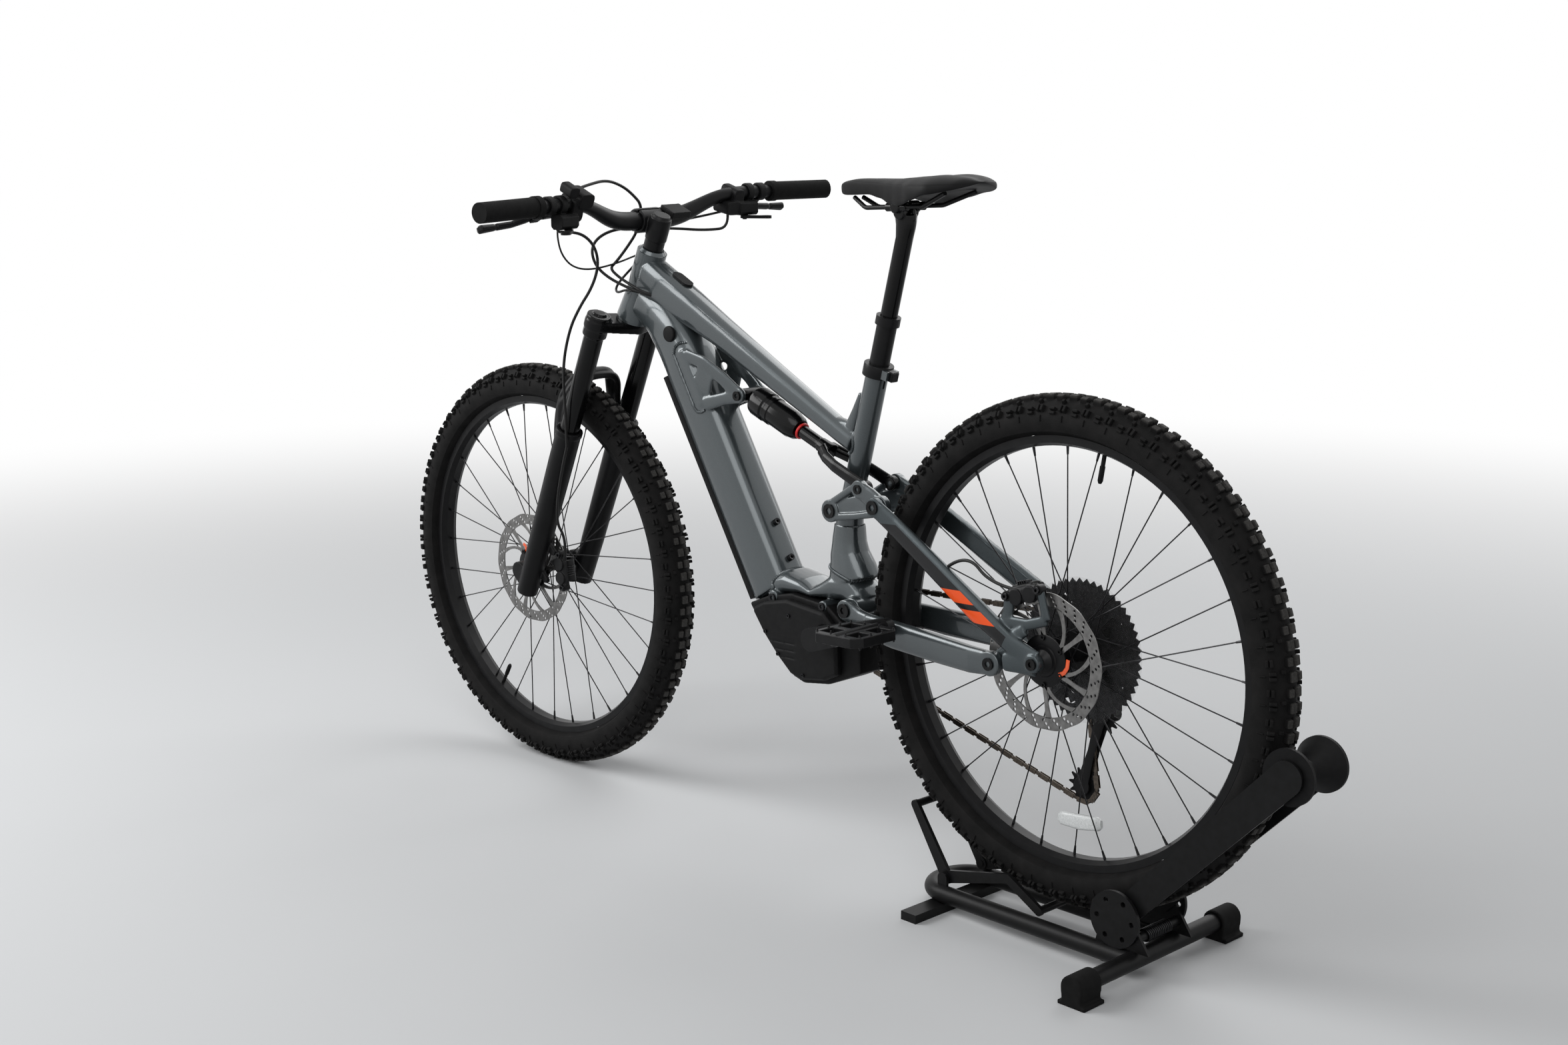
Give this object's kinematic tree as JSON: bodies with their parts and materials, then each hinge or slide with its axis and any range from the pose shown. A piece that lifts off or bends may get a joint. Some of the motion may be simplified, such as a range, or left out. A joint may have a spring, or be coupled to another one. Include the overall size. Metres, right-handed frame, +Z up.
{
  "type": "electric mountain bicycle on a display stand",
  "caption": "Full-suspension electric mountain bicycle held upright by its rear wheel in a tubular floor stand, with chain drive, disc brakes and a dropper seat post.",
  "frame": {"origin": "on the floor, midway between the stand's roller and the front tyre's front, in the bicycle's middle plane", "axes": "+X towards the bicycle's front, +Y to the rider's left, +Z up"},
  "size_m": [2.0334, 0.791, 1.1125],
  "materials": {
    "frame_paint": "metallic blue-grey paint, satin gloss",
    "black_metal": "black anodised and painted metal, satin",
    "black_plastic": "moulded black plastic, matt",
    "rubber_black": "black rubber, matt",
    "tyre_black": "black tyre rubber, matt",
    "steel": "bare brushed steel",
    "chain_steel": "dark browned steel, oiled",
    "saddle_cover": "black synthetic cover, matt",
    "clear_plastic": "pale clear plastic",
    "stand_black": "black powder coat, satin",
    "alloy": "black anodised aluminium"
  },
  "bodies": {
    "stand_base": {"stand_frame": "stand_black", "stand_feet": "rubber_black", "stand_brackets": "stand_black", "stand_spring": "stand_black"},
    "stand_lever": {"stand_lever": "stand_black"},
    "stand_arm": {"stand_arm": "stand_black"},
    "stand_roller": {"stand_rollers": "black_plastic"},
    "frame": {"head_tube": "frame_paint", "top_tube": "frame_paint", "down_tube": "frame_paint", "seat_tube": "frame_paint", "motor_cradle": "frame_paint", "battery": "black_plastic", "battery_cover": "black_plastic", "drive_unit": "black_plastic", "drive_unit_cover": "black_plastic", "dropper_lower": "alloy", "cables": "rubber_black", "chain": "chain_steel"},
    "power_button": {"power_button": "black_plastic"},
    "seat": {"dropper_post": "alloy", "saddle_rails": "alloy", "saddle": "saddle_cover"},
    "steering": {"fork_upper": "alloy", "stem": "alloy", "handlebar": "alloy", "grips": "rubber_black", "bar_controls": "black_plastic"},
    "left_brake_lever": {"left_brake_lever": "alloy"},
    "right_brake_lever": {"right_brake_lever": "alloy"},
    "shift_paddle": {"shift_paddle": "black_plastic"},
    "remote_paddle": {"remote_paddle": "black_plastic"},
    "fork_lowers": {"fork_lowers": "alloy", "front_caliper": "alloy"},
    "front_wheel": {"front_tyre": "tyre_black", "front_rim": "alloy", "front_hub": "alloy", "front_spokes": "black_metal", "front_rotor": "steel"},
    "chainstays": {"chainstays": "frame_paint"},
    "seatstays": {"seatstays": "frame_paint", "rear_caliper": "alloy"},
    "rocker": {"rocker_link": "frame_paint"},
    "shock_can": {"shock_can": "alloy"},
    "shock_yoke": {"shock_yoke": "alloy"},
    "rear_wheel": {"rear_tyre": "tyre_black", "rear_rim": "alloy", "rear_hub": "alloy", "rear_spokes": "black_metal", "rear_rotor": "steel", "wheel_plastics": "clear_plastic"},
    "cassette": {"cassette": "chain_steel"},
    "cranks": {"crank_arms": "alloy"},
    "left_pedal": {"left_pedal": "alloy"},
    "right_pedal": {"right_pedal": "alloy"},
    "derailleur_link": {"derailleur_link": "alloy"},
    "derailleur_knuckle": {"derailleur_knuckle": "alloy"},
    "derailleur_cage": {"derailleur_cage": "alloy"},
    "guide_pulley": {"guide_pulley": "black_plastic"},
    "tension_pulley": {"tension_pulley": "black_plastic"}
  },
  "joints": [
    {"name": "bike_lift", "type": "slide", "parent": "stand_base", "child": "frame", "axis": [0, 0, 1], "range_m": [0, 0.2]},
    {"name": "stand_lever_tip", "type": "hinge", "parent": "stand_base", "child": "stand_lever", "pos_m": [-0.38995, 0, 0.052], "axis": [0, 1, 0], "range_deg": [0, 21]},
    {"name": "stand_arm_swing", "type": "hinge", "parent": "stand_base", "child": "stand_arm", "pos_m": [-0.71795, 0, 0.082], "axis": [0, 1, 0], "range_deg": [-30, 0], "stiffness_Nm_per_rad": 8, "springref_deg": 45.84},
    {"name": "stand_roller_spin", "type": "hinge", "parent": "stand_arm", "child": "stand_roller", "pos_m": [-0.97768, 0, 0.34809], "axis": [0, 1, 0], "continuous": true},
    {"name": "steering_turn", "type": "hinge", "parent": "frame", "child": "steering", "pos_m": [0.35753, 0, 0.90545], "axis": [-0.4034, 0, 0.915], "range_deg": [-47, 42], "deforming": ["cables"]},
    {"name": "fork_travel", "type": "slide", "parent": "steering", "child": "fork_lowers", "axis": [-0.4034, 0, 0.915], "range_m": [0, 0.14], "stiffness_N_per_m": 6000, "springref_m": -0.1, "deforming": ["cables"]},
    {"name": "front_wheel_spin", "type": "hinge", "parent": "fork_lowers", "child": "front_wheel", "pos_m": [0.64164, 0.00201, 0.37498], "axis": [-0.0399, 0.999, -0.0176], "continuous": true},
    {"name": "left_brake_pull", "type": "hinge", "parent": "steering", "child": "left_brake_lever", "pos_m": [0.3307, 0.24988, 1.03659], "axis": [-0.467, -0.102, -0.8784], "range_deg": [-16, 0], "stiffness_Nm_per_rad": 1, "springref_deg": 17.19},
    {"name": "right_brake_pull", "type": "hinge", "parent": "steering", "child": "right_brake_lever", "pos_m": [0.35053, -0.24646, 1.04533], "axis": [0.4724, -0.0335, 0.8808], "range_deg": [-16, 0], "stiffness_Nm_per_rad": 1, "springref_deg": 17.19},
    {"name": "shift_push", "type": "hinge", "parent": "steering", "child": "shift_paddle", "pos_m": [0.31536, -0.20173, 1.02104], "axis": [-0.03, 0.005, 0.9995], "range_deg": [-14, 0], "stiffness_Nm_per_rad": 0.6, "springref_deg": 17.19},
    {"name": "remote_push", "type": "hinge", "parent": "steering", "child": "remote_paddle", "pos_m": [0.29924, 0.20166, 1.01393], "axis": [0.0309, -0.0278, -0.9991], "range_deg": [-14, 0], "stiffness_Nm_per_rad": 0.6, "springref_deg": 17.19},
    {"name": "power_press", "type": "slide", "parent": "frame", "child": "power_button", "axis": [0.4413, 0, -0.8974], "range_m": [0, 0.0006], "stiffness_N_per_m": 3000, "springref_m": -0.001},
    {"name": "dropper_travel", "type": "slide", "parent": "frame", "child": "seat", "axis": [-0.2553, 0, 0.9669], "range_m": [-0.125, 0], "stiffness_N_per_m": 400, "springref_m": 0.5},
    {"name": "suspension_swing", "type": "hinge", "parent": "frame", "child": "chainstays", "pos_m": [-0.18531, 0, 0.43713], "axis": [0, 1, 0], "range_deg": [0, 21], "stiffness_Nm_per_rad": 120, "springref_deg": -34.38, "deforming": ["chain"]},
    {"name": "stay_pivot_turn", "type": "hinge", "parent": "chainstays", "child": "seatstays", "pos_m": [-0.50456, 0, 0.41819], "axis": [0, 1, 0], "range_deg": [-11.5, 0]},
    {"name": "rocker_turn", "type": "hinge", "parent": "frame", "child": "rocker", "pos_m": [-0.14313, 0, 0.5883], "axis": [0, 1, 0], "range_deg": [0, 44.2]},
    {"name": "shock_swing", "type": "hinge", "parent": "frame", "child": "shock_can", "pos_m": [0.08756, 0, 0.74559], "axis": [0, 1, 0], "range_deg": [0, 3.4]},
    {"name": "shock_stroke", "type": "slide", "parent": "shock_can", "child": "shock_yoke", "axis": [0.93, 0, 0.3676], "range_m": [0, 0.0545]},
    {"name": "rear_wheel_spin", "type": "hinge", "parent": "seatstays", "child": "rear_wheel", "pos_m": [-0.58495, 0, 0.433], "axis": [0, 1, 0], "continuous": true},
    {"name": "crank_spin", "type": "hinge", "parent": "frame", "child": "cranks", "pos_m": [-0.13764, 0, 0.38682], "axis": [0, 1, 0], "continuous": true, "deforming": ["chain"]},
    {"name": "cassette_spin", "type": "hinge", "parent": "seatstays", "child": "cassette", "pos_m": [-0.58495, 0, 0.433], "axis": [0, 1, 0], "continuous": true},
    {"name": "left_pedal_spin", "type": "hinge", "parent": "cranks", "child": "left_pedal", "pos_m": [-0.29567, 0, 0.43426], "axis": [0, 1, 0], "continuous": true},
    {"name": "right_pedal_spin", "type": "hinge", "parent": "cranks", "child": "right_pedal", "pos_m": [0.0204, 0, 0.33939], "axis": [0, 1, 0], "continuous": true},
    {"name": "derailleur_swing", "type": "hinge", "parent": "seatstays", "child": "derailleur_link", "pos_m": [-0.6023, -0.07, 0.38376], "axis": [0.9989, 0, -0.0472], "range_deg": [-40, 20], "deforming": ["chain"]},
    {"name": "knuckle_swing", "type": "hinge", "parent": "derailleur_link", "child": "derailleur_knuckle", "pos_m": [-0.60362, -0.07, 0.3558], "axis": [0.9989, 0, -0.0472], "range_deg": [-20, 40]},
    {"name": "cage_swing", "type": "hinge", "parent": "derailleur_knuckle", "child": "derailleur_cage", "pos_m": [-0.6087, 0, 0.33301], "axis": [0, 1, 0], "range_deg": [-25, 50], "deforming": ["chain"]},
    {"name": "guide_pulley_spin", "type": "hinge", "parent": "derailleur_cage", "child": "guide_pulley", "pos_m": [-0.6087, 0, 0.33301], "axis": [0, 1, 0], "continuous": true},
    {"name": "tension_pulley_spin", "type": "hinge", "parent": "derailleur_cage", "child": "tension_pulley", "pos_m": [-0.577, 0, 0.22048], "axis": [0, 1, 0], "continuous": true}
  ],
  "couplings": [
    {"joint": "stand_lever_tip", "follows": "bike_lift", "rad_per_m": 1.74},
    {"joint": "stay_pivot_turn", "follows": "suspension_swing", "ratio": -0.535},
    {"joint": "rocker_turn", "follows": "suspension_swing", "ratio": 2.09},
    {"joint": "shock_swing", "follows": "suspension_swing", "ratio": 0.155},
    {"joint": "shock_stroke", "follows": "suspension_swing", "m_per_rad": 0.147},
    {"joint": "cassette_spin", "follows": "crank_spin", "ratio": 1.6191},
    {"joint": "knuckle_swing", "follows": "derailleur_swing", "ratio": -1}
  ]
}
